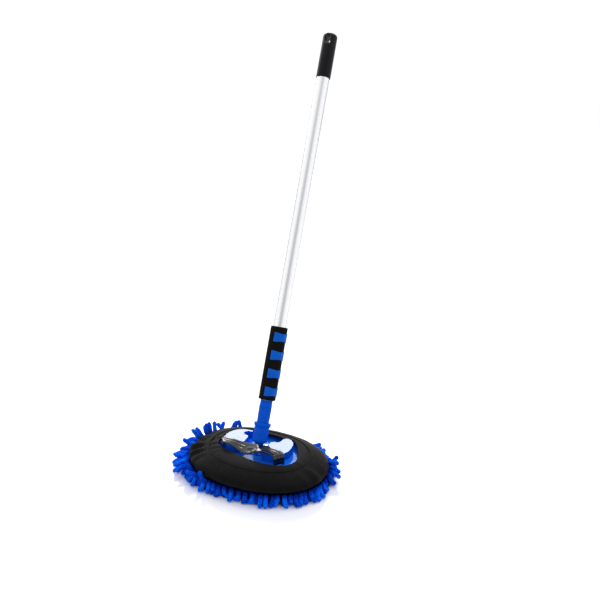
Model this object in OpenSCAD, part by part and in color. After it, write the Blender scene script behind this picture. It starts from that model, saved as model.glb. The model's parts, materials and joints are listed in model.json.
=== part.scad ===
// Long-handled chenille car wash mop, in millimetres.
// The origin is the middle of the head's footprint, on the ground. +X runs along the head,
// +Y points the way the pole leans, and +Z is up.

/* [Pole] */
// Lean of the pole back from upright, in degrees
pole_lean = 26; // [10:1:40]
// Outside diameter of the outer tube
tube_d = 22; // [21.6:0.1:22.4]
// Wall of both tubes
tube_wall = 0.8; // [0.7:0.05:0.9]
// Outside diameter of the inner tube
inner_tube_d = 19; // [18.6:0.1:19.2]
// Height of the outer tube's top above the tilt pin, along the pole
tube_top = 700; // [685:1:760]
// Free travel of the outer tube over the inner tube
pole_travel = 450; // [300:10:450]

/* [Grip] */
// Length of the foam grip
grip_l = 126.5; // [120:0.5:140]
// Diameter of the foam grip
grip_d = 29.4; // [28:0.2:32]
// Spacing of the finger pads along the grip
pad_pitch = 31.2; // [28:0.2:32]
// Height of one finger pad
pad_h = 16; // [12:0.5:20]
// Thickness of a finger pad
pad_t = 0.8; // [0.5:0.1:1.5]
// How far round to the right the finger pads sit, in degrees
pad_turn = 58; // [30:1:70]

/* [Cap and socket] */
// Length of the end cap
cap_l = 78.5; // [74:0.5:90]
// Diameter of the end cap
cap_d = 25; // [24.6:0.1:27]
// Diameter of the socket collar
collar_d = 25.5; // [25:0.1:26.5]
// Diameter of the collar's lip
lip_d = 29; // [28:0.1:29.4]

/* [Head] */
// Half length of the cover at its rim
rim_a = 121.5; // [120:0.5:125]
// Half width of the cover at its rim
rim_b = 87; // [86:0.5:92]
// Half length of the chenille pile
pile_a = 139; // [134:1:144]
// Half width of the chenille pile
pile_b = 99; // [95:1:105]
// Height of the chenille pile
pile_h = 23; // [18:0.5:23]
// How far the cover's middle sits to the right of the pile's
rim_x = 4.5; // [3:0.5:5]

/* [Clamp bar] */
// Thickness of the clamp bar
bar_t = 2.6; // [2:0.1:3]
// Height of the clamp bar's ribs
rib_h = 0.7; // [0.4:0.1:0.9]

/* [Hidden] */

$fn = 96;
run_gap = 0.05;      // radial clearance of a running fit
soft_gap = 0.3;      // gap kept round a soft part

// Heights of the layers in the head
cloth_t = 1;
foam_z = pile_h + cloth_t + soft_gap;
plate_z = 34;
plate_top = 38;
lobe_top = 52;
plate_a = 98;
plate_b = 64;
cover_t = 1.8;

// Ovals of the head are superellipses, a little squarer than an ellipse
oval_power = 2.2;
oval_sides = 64;
seam_a = 90;
seam_b = 60.5;
seam_x = 6;
seam_y = 1.5;

// The hem is a smooth curve through these corners, a few millimetres outside both lobes
hem_corners = [
    [75, 6], [66, 26], [51, 44], [28, 47], [6, 51], [-18, 51], [-42, 47], [-60, 34],
    [-67, 13], [-66, -10], [-50, -21], [-24, -28], [4, -35], [36, -37], [65, -30], [78, -12]
];

// The pivot: the tilt pin lies along X, and the swing pin crosses the pole above it
pivot_y = 9;
pivot_z = 41;
pin_r = 2.2;
pin_head_r = 2.9;
swing_s = 7.5;       // height of the swing pin above the tilt pin, along the pole
tongue_t = 8;
tongue_r = 4.5;
prong_r = 4.6;
prong_t = 3.8;
ear_gap = 7;         // inner faces of the bracket's ears, from the middle
ear_t = 4;
well_y = [2, 25];    // front and back of the well under the knuckle
frame_h = 1.9;

// Places along the pole, counted from the tilt pin
collar_s = 12.4;
collar_h = 33.5;
lip_h = 5;
adapter_s = collar_s + collar_h;
tube_s = 85.65;
grip_s = tube_s + 0.2;
cap_s = tube_top + 29.2 - cap_l;
cap_top = cap_s + cap_l;
adapter_top = tube_s - 0.3;
spigot_r = 9;
plug_r = inner_tube_d / 2 - tube_wall;
bore_r = tube_d / 2 - tube_wall;
bush_l = 18;
tube_overlap = 115;  // length of the inner tube still inside, at full reach
inner_tube_l = pole_travel + tube_overlap;
inner_top = adapter_top + inner_tube_l;

// The hanging slot in the end cap
slot_w = 11;
slot_h = 15.5;
slot_s = cap_top - 5 - slot_h / 2;

// The clamp bar lies along X in front of the pole and turns up about its left end
bar_pin_x = -58;
bar_pin_z = 50.5;
bar_pin_r = 1.5;
bar_barrel_r = 3.5;
bar_back = -3;
bar_end_w = 9;
bar_w = 17;
bar_pad_w = 9;       // how far the middle of the bar bulges forwards
bar_foot_w = 20;
bar_foot_x = 61;
bar_turn_x = 49.5;   // from here its right end turns towards the front
bar_turn = 42;
bar_foot_z = plate_top + 0.4;
rib_w = 1.7;
rib_count = 5;

// ---------------------------------------------------------------- shapes used more than once

// Signed power, for a superellipse
function spow(v, p) = sign(v) * pow(abs(v), p);

// Points of an oval of half length a and half width b about [x, y], turned by an angle
function oval(a, b, x = 0, y = 0, turn = 0) = [
    for (i = [0 : oval_sides - 1])
        let (t = 360 * i / oval_sides)
        let (u = a * spow(cos(t), 2 / oval_power), v = b * spow(sin(t), 2 / oval_power))
        [x + u * cos(turn) - v * sin(turn), y + u * sin(turn) + v * cos(turn)]
];

// Points of all the rings, each ring being [half length, half width, height, x, y, turn]
function ring_points(rings) = [
    for (r = rings)
        for (p = oval(r[0], r[1], r[3], r[4], r[5]))
            [p[0], p[1], r[2]]
];

// Wall faces between ring i and ring j
function wall_faces(i, j) = [
    for (k = [0 : oval_sides - 1])
        let (n = (k + 1) % oval_sides)
        [i * oval_sides + k, j * oval_sides + k, j * oval_sides + n, i * oval_sides + n]
];

// A solid through ovals stacked from the bottom to the top
module oval_solid(rings) {
    count = len(rings);
    polyhedron(
        points = ring_points(rings),
        faces = concat(
            [[for (k = [0 : oval_sides - 1]) k]],
            [for (i = [0 : count - 2]) for (f = wall_faces(i, i + 1)) f],
            [[for (k = [oval_sides - 1 : -1 : 0]) (count - 1) * oval_sides + k]]
        ),
        convexity = 4
    );
}

// A closed band through ovals that go up its outside and down its inside
module oval_band(rings) {
    count = len(rings);
    polyhedron(
        points = ring_points(rings),
        faces = [for (i = [0 : count - 1]) for (f = wall_faces(i, (i + 1) % count)) f],
        convexity = 8
    );
}

// Puts its children in the pole's frame: Z runs up the pole from the tilt pin
module on_pole(s = 0) {
    translate([0, pivot_y, pivot_z])
        rotate([-pole_lean, 0, 0])
            translate([0, 0, s])
                children();
}

// A tube from height 0 up
module tube(r_out, r_in, l) {
    linear_extrude(l)
        difference() {
            circle(r_out);
            circle(r_in);
        }
}

// ---------------------------------------------------------------- soft parts of the head

// The thick pile of chenille noodles, as one closed body
module chenille_pile() {
    color("royalblue")
        oval_solid([
            [pile_a - 9, pile_b - 9, 0, 0, 0, 0],
            [pile_a - 2, pile_b - 2, 4, 0, 0, 0],
            [pile_a, pile_b, 10, 0, 0, 0],
            [pile_a - 2, pile_b - 2, 17, 0, 0, 0],
            [pile_a - 9, pile_b - 9, pile_h, 0, 0, 0]
        ]);
}

// The cloth that the noodles are sewn to
module backing_cloth() {
    color("navy")
        translate([rim_x, 0, pile_h])
            linear_extrude(cloth_t)
                polygon(oval(rim_a, rim_b));
}

// The foam between the plate and the pile
module foam_pad() {
    color("lightgray")
        oval_solid([
            [rim_a - 5, rim_b - 5, foam_z, rim_x, 0, 0],
            [rim_a - 7, rim_b - 7, foam_z + 4, rim_x, 0, 0],
            [rim_a - 18, rim_b - 17, plate_z - 0.1, rim_x, 0, 0]
        ]);
}

// Outer band of the cover, of open mesh, from the rim up to the seam
module mesh_cover() {
    color("black")
        oval_band([
            [rim_a, rim_b, foam_z, rim_x, 0, 0],
            [rim_a - 3, rim_b - 3, foam_z + 6.5, rim_x, 0, 0],
            [rim_a - 12, rim_b - 11, foam_z + 13.5, rim_x, 0, 0],
            [seam_a + 1.4, seam_b + 1.4, 45.5, seam_x, seam_y, 0],
            [seam_a + 0.4, seam_b + 0.4, 45.5 - cover_t, seam_x, seam_y, 0],
            [rim_a - 13, rim_b - 12, foam_z + 13.5 - cover_t, rim_x, 0, 0],
            [rim_a - 4.6, rim_b - 4.6, foam_z + 6.5 - 0.5, rim_x, 0, 0],
            [rim_a - cover_t, rim_b - cover_t, foam_z, rim_x, 0, 0]
        ]);
}

// Point on a smooth closed curve, a share u of the way from corner i to the next one
function curve_point(corners, i, u) =
    let (n = len(corners))
    let (a = corners[(i + n - 1) % n], b = corners[i], c = corners[(i + 1) % n])
    let (d = corners[(i + 2) % n])
    (2 * b + (c - a) * u + (2 * a - 5 * b + 4 * c - d) * u * u
        + (3 * b - 3 * c + d - a) * u * u * u) / 2;

// Outline of the hem
function hem_outline() =
    let (steps = oval_sides / len(hem_corners))
    [for (i = [0 : len(hem_corners) - 1]) for (k = [0 : steps - 1])
        curve_point(hem_corners, i, k / steps)];

// Where the seam's oval lies in the direction of a point
function seam_towards(p) =
    let (u = p[0] - seam_x, v = p[1] - seam_y)
    let (size = pow(pow(abs(u) / seam_a, oval_power) + pow(abs(v) / seam_b, oval_power),
                    1 / oval_power))
    [seam_x + u / size, seam_y + v / size];

// Points of one row of the ring, a share of the way from the seam in to the hem
function ring_row(share, z) = [
    for (q = hem_outline())
        let (p = seam_towards(q))
        [p[0] + (q[0] - p[0]) * share, p[1] + (q[1] - p[1]) * share, z]
];

// Inner ring of the cover, of smooth stretch cloth, from the seam in to the opening
module cover_ring() {
    rows = [
        [0, 45.8], [0.35, 48.3], [0.86, 49.8], [1, 49.2],
        [1, 47.4], [0.86, 48], [0.38, 46.6], [0.02, 44.2]
    ];
    count = len(rows);
    color("dimgray")
        polyhedron(
            points = [for (r = rows) for (p = ring_row(r[0], r[1])) p],
            faces = [for (i = [0 : count - 1]) for (f = wall_faces(i, (i + 1) % count)) f],
            convexity = 8
        );
}

// Elastic in the hem round the opening
module hem_elastic() {
    color("gray")
        translate([0, 0, 45.2])
            linear_extrude(2)
                difference() {
                    offset(delta = 2.4)
                        polygon(hem_outline());
                    offset(delta = 0.4)
                        polygon(hem_outline());
                }
}

// ---------------------------------------------------------------- plate and its covers

// Places of the screws that hold each lobe, and of those that hold the bracket
left_screws = [[-53, 14], [-32, 5]];
right_screws = [[27, 5], [46, 24]];
bracket_places = [for (x = [-7.6, 7.6]) for (y = [-2, 28]) [x, y]];
screw_r = 1.5;
screw_head_r = 2.7;

// The oval plate that spreads the load on the foam
module base_plate() {
    color("royalblue")
        difference() {
            translate([0, 0, plate_z])
                linear_extrude(plate_top - plate_z)
                    polygon(oval(plate_a, plate_b));
            for (p = concat(left_screws, right_screws)) {
                translate([p[0], p[1], plate_z - 1])
                    cylinder(r = screw_r, h = 10);
                translate([p[0], p[1], plate_z - 1])
                    cylinder(r = screw_head_r + 0.3, h = 2.8);
            }
            for (p = bracket_places)
                translate([p[0], p[1], plate_z - 1])
                    cylinder(r = screw_r, h = 10);
            knuckle_well();
        }
}

// The well through the bracket's frame and the plate, where the knuckle turns
module knuckle_well() {
    translate([-ear_gap, well_y[0], plate_z - 1])
        cube([2 * ear_gap, well_y[1] - well_y[0], 10]);
}

// A hollow raised cover with the outline of its children's drawing, and bosses for its screws
module lobe_shell(places) {
    wall = 2;
    difference() {
        translate([0, 0, plate_top])
            linear_extrude(lobe_top - plate_top)
                children();
        difference() {
            translate([0, 0, plate_top - 1])
                linear_extrude(lobe_top - plate_top - wall + 1)
                    offset(delta = -wall)
                        children();
            for (p = places)
                translate([p[0], p[1], plate_top - 2])
                    cylinder(r = 3.6, h = lobe_top - plate_top + 4);
        }
        for (p = places)
            translate([p[0], p[1], plate_top - 1])
                cylinder(r = screw_r, h = 8);
    }
}

module left_lobe_outline() {
    offset(r = 1.6, $fn = 32)
        offset(delta = -1.6)
            polygon([
                [-52, -1], [-62, 1], [-64, 5], [-64, 18], [-61.5, 26], [-57, 33], [-50, 39.5],
                [-42, 43], [-27, 44.6], [-26, 41], [-34, 39.5], [-38, 36], [-38.5, 31], [-35, 27.5],
                [-27, 26.5], [-25.5, 22], [-26, 15], [-25, -6], [-29, -11], [-34, -14], [-50, -14]
            ]);
}

module right_lobe_outline() {
    offset(r = 2, $fn = 32)
        offset(delta = -2)
            polygon([
                [16.5, -14], [16.5, 12], [19, 22], [22, 24.5], [30, 26.5], [33, 31], [33.5, 38],
                [37, 42.5], [42, 43.5], [48, 41.5], [54, 35.5], [57, 27], [58, 16], [57, 7], [53, -1],
                [47, -2], [45, -14]
            ]);
}

// Raised cover at the left, with an arm that reaches behind the pole
module left_lobe() {
    color("dodgerblue")
        lobe_shell(left_screws)
            left_lobe_outline();
}

// Raised cover at the right
module right_lobe() {
    color("dodgerblue")
        lobe_shell(right_screws)
            right_lobe_outline();
}

// The screws up through the plate into the two lobes
module plate_screws() {
    color("silver")
        for (p = concat(left_screws, right_screws))
            translate([p[0], p[1], plate_z]) {
                cylinder(r = screw_head_r, h = 1.8);
                cylinder(r = screw_r, h = 10);
            }
}

// ---------------------------------------------------------------- pivot

// A frame with two ears that hold the tilt pin
module pivot_bracket() {
    ear_r = 6;
    front = well_y[0] - 7;
    back = well_y[1] + 6;
    color("mediumblue")
        difference() {
            union() {
                translate([-ear_gap - ear_t, front, plate_top])
                    cube([2 * (ear_gap + ear_t), back - front, frame_h]);
                translate([-ear_gap - ear_t, pivot_y, pivot_z])
                    rotate([90, 0, 90])
                        linear_extrude(2 * (ear_gap + ear_t))
                            intersection() {
                                union() {
                                    circle(ear_r);
                                    translate([-ear_r, -ear_r])
                                        square([2 * ear_r, ear_r]);
                                }
                                translate([-ear_r, plate_top - pivot_z])
                                    square([2 * ear_r, 2 * ear_r]);
                            }
            }
            knuckle_well();
            translate([-ear_gap, pivot_y - ear_r - 1, plate_top + frame_h])
                cube([2 * ear_gap, 2 * ear_r + 2, 10]);
            translate([-20, pivot_y, pivot_z])
                rotate([0, 90, 0])
                    cylinder(r = pin_r, h = 40);
            for (p = bracket_places) {
                translate([p[0], p[1], plate_top - 1])
                    cylinder(r = screw_r, h = 10);
                translate([p[0], p[1], plate_top + 0.8])
                    cylinder(r = screw_head_r, h = 10);
            }
        }
}

// The screws that hold the bracket to the plate, sunk flush
module bracket_screws() {
    color("silver")
        for (p = bracket_places)
            translate([p[0], p[1], plate_z + 0.5]) {
                cylinder(r = screw_r, h = 5);
                translate([0, 0, plate_top + 0.3 - plate_z])
                    cylinder(r = screw_head_r, h = 1);
            }
}

// The steel pin that the knuckle tilts on
module tilt_pin() {
    color("silver")
        translate([-ear_gap - ear_t, pivot_y, pivot_z])
            rotate([0, 90, 0]) {
                translate([0, 0, -1.4])
                    cylinder(r = pin_head_r, h = 1.4);
                difference() {
                    cylinder(r = pin_r, h = 2 * (ear_gap + ear_t) + 2.2);
                    translate([0, 0, 2 * (ear_gap + ear_t) + 0.2])
                        tube(pin_r + 1, pin_r - 0.6, 0.9);
                }
            }
}

// The spring clip in the tilt pin's groove
module pin_clip() {
    color("gray")
        translate([ear_gap + ear_t + 0.25, pivot_y, pivot_z])
            rotate([0, 90, 0])
                difference() {
                    tube(pin_head_r, pin_r - 0.6, 0.8);
                    translate([-1.2, -6, -1])
                        cube([2.4, 6, 3]);
                }
}

// The block between the two pins: it tilts on one and the collar swings on the other
module knuckle() {
    barrel_r = 4.6;
    color("mediumblue")
        on_pole()
            difference() {
                union() {
                    translate([-ear_gap + 0.3, 0, 0])
                        rotate([0, 90, 0])
                            cylinder(r = barrel_r, h = 2 * ear_gap - 0.6);
                    translate([0, tongue_t / 2, swing_s])
                        rotate([90, 0, 0])
                            cylinder(r = tongue_r, h = tongue_t);
                    translate([-tongue_r, -tongue_t / 2, 0])
                        cube([2 * tongue_r, tongue_t, swing_s]);
                }
                translate([-20, 0, 0])
                    rotate([0, 90, 0])
                        cylinder(r = pin_r + run_gap, h = 40);
                translate([0, 20, swing_s])
                    rotate([90, 0, 0])
                        cylinder(r = pin_r + run_gap, h = 40);
            }
}

// The steel pin that the collar swings on
module swing_pin() {
    half = tongue_t / 2 + 0.2 + prong_t;
    color("silver")
        on_pole(swing_s)
            rotate([90, 0, 0])
                translate([0, 0, -half])
                    cylinder(r = pin_r, h = 2 * half);
}

// The collar: a fork below, a threaded socket above with a two-step lip
module socket_collar() {
    r = collar_d / 2;
    inner = tongue_t / 2 + 0.2;
    color("dodgerblue")
        on_pole()
            difference() {
                union() {
                    translate([0, 0, collar_s])
                        rotate_extrude()
                            polygon([
                                [0, 0], [r - 1.6, 0], [r - 0.6, 0.6], [r, 2], [r + 0.3, 25.4],
                                [r - 0.4, 25.8], [r - 0.4, 26.6], [r + 0.6, 27],
                                [r + 0.9, collar_h - lip_h], [lip_d / 2, collar_h - lip_h + 1],
                                [lip_d / 2, collar_h - 0.5], [lip_d / 2 - 0.5, collar_h],
                                [0, collar_h]
                            ]);
                    for (side = [-1, 1])
                        translate([0, side * (inner + prong_t / 2), 0])
                            rotate([90, 0, 0])
                                translate([0, 0, -prong_t / 2])
                                    linear_extrude(prong_t)
                                        union() {
                                            translate([0, swing_s])
                                                circle(prong_r);
                                            translate([-prong_r, swing_s])
                                                square([2 * prong_r, collar_s - swing_s + 1]);
                                        }
                }
                translate([0, 20, swing_s])
                    rotate([90, 0, 0])
                        cylinder(r = pin_r, h = 40);
                translate([0, 0, adapter_s - 26])
                    cylinder(r = spigot_r, h = 40);
            }
}

// ---------------------------------------------------------------- pole

// The fluted adapter: its spigot screws into the collar and its plug holds the inner tube
module pole_adapter() {
    body_h = adapter_top - adapter_s;
    flutes = 10;
    color("dodgerblue")
        on_pole(adapter_s)
            difference() {
                union() {
                    translate([0, 0, -25.8])
                        cylinder(r = spigot_r, h = 26);
                    rotate_extrude()
                        polygon([
                            [0, 0], [10.5, 0], [10.9, body_h - 10], [10.5, body_h - 8.6],
                            [10.4, body_h], [0, body_h]
                        ]);
                    translate([0, 0, body_h - 1])
                        cylinder(r = plug_r, h = 35);
                }
                for (i = [0 : flutes - 1])
                    rotate([0, 0, 360 * (i + 0.5) / flutes])
                        translate([10.2, -1.7, 2.5])
                            cube([3, 3.4, body_h - 14]);
                translate([0, 0, -26])
                    cylinder(r = 6, h = body_h + 70);
            }
}

// The thin inner tube
module inner_tube() {
    color("gainsboro")
        on_pole(adapter_top)
            tube(inner_tube_d / 2, plug_r, inner_tube_l);
}

// The plug in the inner tube's top, with the stud that the sleeve turns on
module lock_plug() {
    color("dimgray")
        on_pole(inner_top) {
            translate([0, 0, -22])
                cylinder(r = plug_r, h = 22);
            cylinder(r = inner_tube_d / 2, h = 2);
            cylinder(r = 3, h = 28);
            translate([0, 0, 26.4])
                cylinder(r = 5, h = 2.6);
        }
}

// The split sleeve that grips the outer tube from inside when it is turned
module expander_sleeve() {
    color("white")
        on_pole(inner_top + 2.3)
            difference() {
                cylinder(r = bore_r - run_gap, h = 23.8);
                translate([0, 0, -1])
                    cylinder(r = 3 + run_gap, h = 30);
                translate([0, -1, 4])
                    cube([20, 2, 30]);
            }
}

// The outer tube
module outer_tube() {
    color("silver")
        on_pole(tube_s)
            tube(tube_d / 2, bore_r, tube_top - tube_s);
}

// The guide bush in the outer tube's foot
module tube_bush() {
    color("white")
        on_pole(tube_s)
            tube(bore_r, inner_tube_d / 2 + run_gap, bush_l);
}

// The foam grip on the outer tube
module foam_grip() {
    r = grip_d / 2;
    color("black")
        on_pole(grip_s)
            rotate_extrude()
                polygon([
                    [tube_d / 2, 0], [r - 0.8, 0], [r, 0.8], [r, grip_l - 0.8],
                    [r - 0.8, grip_l], [tube_d / 2, grip_l]
                ]);
}

// Outline of a finger pad rolled out flat: two rounded ends joined by a narrow waist
module pad_outline() {
    waist = pad_h * 0.4;
    half = 13;
    polygon([
        for (i = [-10 : 10])
            let (u = i / 10)
            [u * half, waist + (pad_h / 2 - waist) * (1 - cos(180 * u)) / 2],
        for (i = [10 : -1 : -10])
            let (u = i / 10)
            [u * half, -waist - (pad_h / 2 - waist) * (1 - cos(180 * u)) / 2]
    ]);
}

// A finger pad: the outline cut through a thin sleeve on the front of the grip
module grip_pad(i) {
    r = grip_d / 2;
    color("dodgerblue")
        on_pole(grip_s + grip_l - 18 - pad_pitch * (i - 1))
            intersection() {
                translate([0, 0, -pad_h])
                    tube(r + pad_t, r, 2 * pad_h);
                rotate([0, 0, pad_turn])
                    translate([0, -2, 0])
                        rotate([90, 0, 0])
                            linear_extrude(30)
                                pad_outline();
            }
}

// The cap on the tube's top, with a slot to hang it by
module end_cap() {
    r = cap_d / 2;
    color("black")
        on_pole(cap_s)
            difference() {
                rotate_extrude()
                    polygon(concat(
                        [[0, 0], [r - 0.6, 0], [r, 0.6]],
                        [for (i = [0 : 6]) [r - 6 + 6 * cos(15 * i), cap_l - 6 + 6 * sin(15 * i)]],
                        [[0, cap_l]]
                    ));
                translate([0, 0, -1])
                    cylinder(r = tube_d / 2, h = tube_top - cap_s + 1);
                translate([0, 20, slot_s - cap_s])
                    rotate([90, 0, 0])
                        linear_extrude(40)
                            offset(r = 4, $fn = 48)
                                square([slot_w - 8, slot_h - 8], center = true);
            }
}

// ---------------------------------------------------------------- clamp bar

// Height of the bar's middle line: two humps with a dip in front of the pole
function bar_wave(x) =
    x < -13 ? 58 + 1.1 * cos(180 * (x + 52) / 39) :
    x < 18 ? 58 + 1.1 * cos(360 * (x - 18) / 62) : 59.1 - 1.2 * pow((x - 18) / 35, 2);

// Side view of the bar from its hinge to its foot, t being added above its middle line
module bar_profile(above, below) {
    steps = 26;
    bend_x = bar_foot_x - 7;
    span = bend_x - bar_pin_x;
    bend_r = bar_foot_x - bend_x;
    bend_z = bar_wave(bend_x) - bend_r;
    top = [for (i = [1 : steps]) let (x = bar_pin_x + span * i / steps) [x, bar_wave(x) + above]];
    low = [for (i = [steps : -1 : 1]) let (x = bar_pin_x + span * i / steps) [x, bar_wave(x) - below]];
    outside = [
        for (i = [1 : 6])
            [bend_x + (bend_r + above) * sin(15 * i), bend_z + (bend_r + above) * cos(15 * i)]
    ];
    inside = [
        for (i = [6 : -1 : 1])
            [bend_x + (bend_r - below) * sin(15 * i), bend_z + (bend_r - below) * cos(15 * i)]
    ];
    polygon(concat(
        [[bar_pin_x, bar_pin_z + bar_barrel_r]],
        top,
        outside,
        [[bar_foot_x + above, bar_foot_z], [bar_foot_x - below, bar_foot_z]],
        inside,
        low,
        [[bar_pin_x, bar_pin_z + bar_barrel_r - above - below]]
    ));
}

// Plan of the bar: narrow at the hinge, with a wide pad in front of the pole
module bar_plan() {
    left = bar_pin_x - bar_barrel_r - 1;
    right = bar_foot_x + 4;
    polygon(concat(
        [[left, bar_back], [left, bar_back - bar_end_w]],
        [
            for (x = [bar_pin_x + 6 : 3 : 28])
                let (widen = bar_w - bar_end_w, grow = min(1, max(0, (x + 58) / 8)))
                let (bump = abs(x + 4) < 32 ? (1 + cos(180 * (x + 4) / 32)) / 2 : 0)
                [x, bar_back - bar_end_w - widen * (1 - cos(180 * grow)) / 2 - bar_pad_w * bump]
        ],
        [
            [32, bar_back - bar_w], [46, bar_back - bar_foot_w],
            [right, bar_back - bar_foot_w], [right, bar_back]
        ]
    ));
}

// Stands a side view drawn in X and Z up between two places along Y
module side_slab(y_low, y_high) {
    translate([0, y_high, 0])
        rotate([90, 0, 0])
            linear_extrude(y_high - y_low)
                children();
}

// Swings its children round the bar's back edge to where its right end points
module at_bar_end() {
    translate([bar_turn_x, bar_back, 0])
        rotate([0, 0, -bar_turn])
            translate([-bar_turn_x, -bar_back, 0])
                children();
}

// The ribbed bar, hinged at its left end, with a thumb dimple and a foot at its right end
module clamp_bar() {
    box = 2 * bar_foot_x;
    color("dimgray") {
        intersection() {
            straight_bar();
            translate([bar_turn_x - 2 * box, -box, 0])
                cube([2 * box, 2 * box, box]);
        }
        at_bar_end()
            intersection() {
                straight_bar();
                translate([bar_turn_x, -box, 0])
                    cube([2 * box, 2 * box, box]);
            }
    }
}

// The bar before its right end is turned
module straight_bar() {
    depth = bar_w + bar_pad_w + 2;
    rib_pitch = (bar_w - rib_w) / (rib_count - 1);
    difference() {
        union() {
            intersection() {
                side_slab(bar_back - depth, bar_back)
                    bar_profile(bar_t / 2, bar_t / 2);
                translate([0, 0, plate_top - 1])
                    linear_extrude(30)
                        bar_plan();
            }
            intersection() {
                for (i = [0 : rib_count - 1])
                    side_slab(bar_back - rib_w - rib_pitch * i, bar_back - rib_pitch * i)
                        bar_profile(bar_t / 2 + rib_h, 0);
                translate([0, 0, plate_top - 1])
                    linear_extrude(30)
                        bar_plan();
            }
            side_slab(bar_back - bar_end_w, bar_back)
                translate([bar_pin_x, bar_pin_z])
                    circle(bar_barrel_r);
        }
        side_slab(bar_back - bar_end_w / 2 - 1.7, bar_back - bar_end_w / 2 + 1.7)
            translate([bar_pin_x, bar_pin_z - 1])
                square([10.4, 14], center = true);
        side_slab(bar_back - 30, bar_back + 5)
            translate([bar_pin_x, bar_pin_z])
                circle(bar_pin_r + run_gap);
        translate([-3, bar_back - 17, bar_wave(-3) + 21])
            sphere(r = 20.6);
    }
}

// The single lug on the plate that the bar hangs on
module bar_hinge() {
    color("mediumblue")
        difference() {
            side_slab(bar_back - bar_end_w / 2 - 1.4, bar_back - bar_end_w / 2 + 1.4) {
                translate([bar_pin_x, bar_pin_z])
                    circle(bar_barrel_r);
                translate([bar_pin_x - 3.5, plate_top])
                    square([7, bar_pin_z - plate_top]);
            }
            side_slab(bar_back - 30, bar_back + 5)
                translate([bar_pin_x, bar_pin_z])
                    circle(bar_pin_r);
        }
}

// The pin through the bar and its lug
module bar_pin() {
    color("silver")
        side_slab(bar_back - bar_end_w - 0.4, bar_back + 0.4)
            translate([bar_pin_x, bar_pin_z])
                circle(bar_pin_r);
}

// The catch on the plate that the bar's foot snaps against
module bar_catch() {
    color("mediumblue")
        at_bar_end()
            side_slab(bar_back - bar_foot_w + 5, bar_back - 5)
                polygon([
                    [bar_foot_x + 3.4, plate_top], [bar_foot_x + 7, plate_top],
                    [bar_foot_x + 4.8, plate_top + 5], [bar_foot_x + 3.4, plate_top + 5]
                ]);
}

chenille_pile();
backing_cloth();
foam_pad();
mesh_cover();
cover_ring();
hem_elastic();
base_plate();
left_lobe();
right_lobe();
plate_screws();
pivot_bracket();
bracket_screws();
tilt_pin();
pin_clip();
knuckle();
swing_pin();
socket_collar();
pole_adapter();
inner_tube();
lock_plug();
expander_sleeve();
outer_tube();
tube_bush();
foam_grip();
grip_pad(1);  // grip_pad_1
grip_pad(2);  // grip_pad_2
grip_pad(3);  // grip_pad_3
grip_pad(4);  // grip_pad_4
end_cap();
bar_hinge();
bar_pin();
clamp_bar();
bar_catch();
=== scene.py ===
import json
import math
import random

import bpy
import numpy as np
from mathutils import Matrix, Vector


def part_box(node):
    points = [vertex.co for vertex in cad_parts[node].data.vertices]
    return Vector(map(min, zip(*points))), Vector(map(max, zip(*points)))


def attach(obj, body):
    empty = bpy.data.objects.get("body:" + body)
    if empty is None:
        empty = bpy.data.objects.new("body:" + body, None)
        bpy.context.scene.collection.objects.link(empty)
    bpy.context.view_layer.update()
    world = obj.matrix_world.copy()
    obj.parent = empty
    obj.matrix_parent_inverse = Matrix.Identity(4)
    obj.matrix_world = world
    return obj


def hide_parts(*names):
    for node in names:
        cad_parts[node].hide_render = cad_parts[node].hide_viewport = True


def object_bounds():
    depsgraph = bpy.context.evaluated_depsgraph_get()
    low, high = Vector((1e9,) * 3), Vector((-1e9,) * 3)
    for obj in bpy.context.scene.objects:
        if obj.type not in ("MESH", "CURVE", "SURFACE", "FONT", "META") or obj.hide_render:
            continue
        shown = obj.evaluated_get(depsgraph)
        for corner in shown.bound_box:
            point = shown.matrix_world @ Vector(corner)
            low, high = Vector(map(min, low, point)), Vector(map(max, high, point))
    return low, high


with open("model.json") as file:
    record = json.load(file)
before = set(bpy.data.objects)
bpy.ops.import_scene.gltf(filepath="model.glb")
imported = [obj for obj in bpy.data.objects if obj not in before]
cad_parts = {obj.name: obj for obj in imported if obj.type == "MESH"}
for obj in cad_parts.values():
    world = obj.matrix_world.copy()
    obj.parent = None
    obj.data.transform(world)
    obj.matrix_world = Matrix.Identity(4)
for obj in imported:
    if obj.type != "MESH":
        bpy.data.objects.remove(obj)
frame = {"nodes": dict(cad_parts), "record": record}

# A long-handled chenille car wash mop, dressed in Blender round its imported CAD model.
#
# The frame is the CAD model's own: X along the head, Y the way the pole leans, Z up. Lengths
# are in millimetres, and become Blender's metres where they are multiplied by MM. The camera,
# the lights, the floor and the flat sizes of the sheets are in metres. Soft parts, the clamp
# bar and its catch are modelled here and replace their plain CAD solids. The other hard parts
# are the CAD solids, with rounded edges and better materials.

MM = 0.001
cad_box = [list(corner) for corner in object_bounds()]


# ---------- camera, light and floor

AZIMUTH = math.radians(23.07)
ELEVATION = math.radians(22.0)
# Where the camera is along its own three axes, in metres from the origin
CAMERA_AWAY = 1.3743
CAMERA_RIGHT = 0.0751
CAMERA_UP = 0.2962
SENSOR_MM, LENS_MM = 36.0, 48.0
VIEW_DEPTH = 100.0

ROOM_STRENGTH = 1.1
# Where the room's dark side is, and the room's colours from far from it (0.5) up to it (1)
DARK_SIDE = (0.363, -0.853, 0.375)
ROOM_COLOURS = [(0.30, (1.0, 1.0, 1.0)), (0.70, (0.95, 0.955, 0.965)),
                (0.90, (0.86, 0.865, 0.875)), (0.965, (0.6, 0.605, 0.61)),
                (1.0, (0.5, 0.5, 0.51))]
FLOOR_HALF = 30.0
FLOOR_GAP = 0.0002


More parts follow.
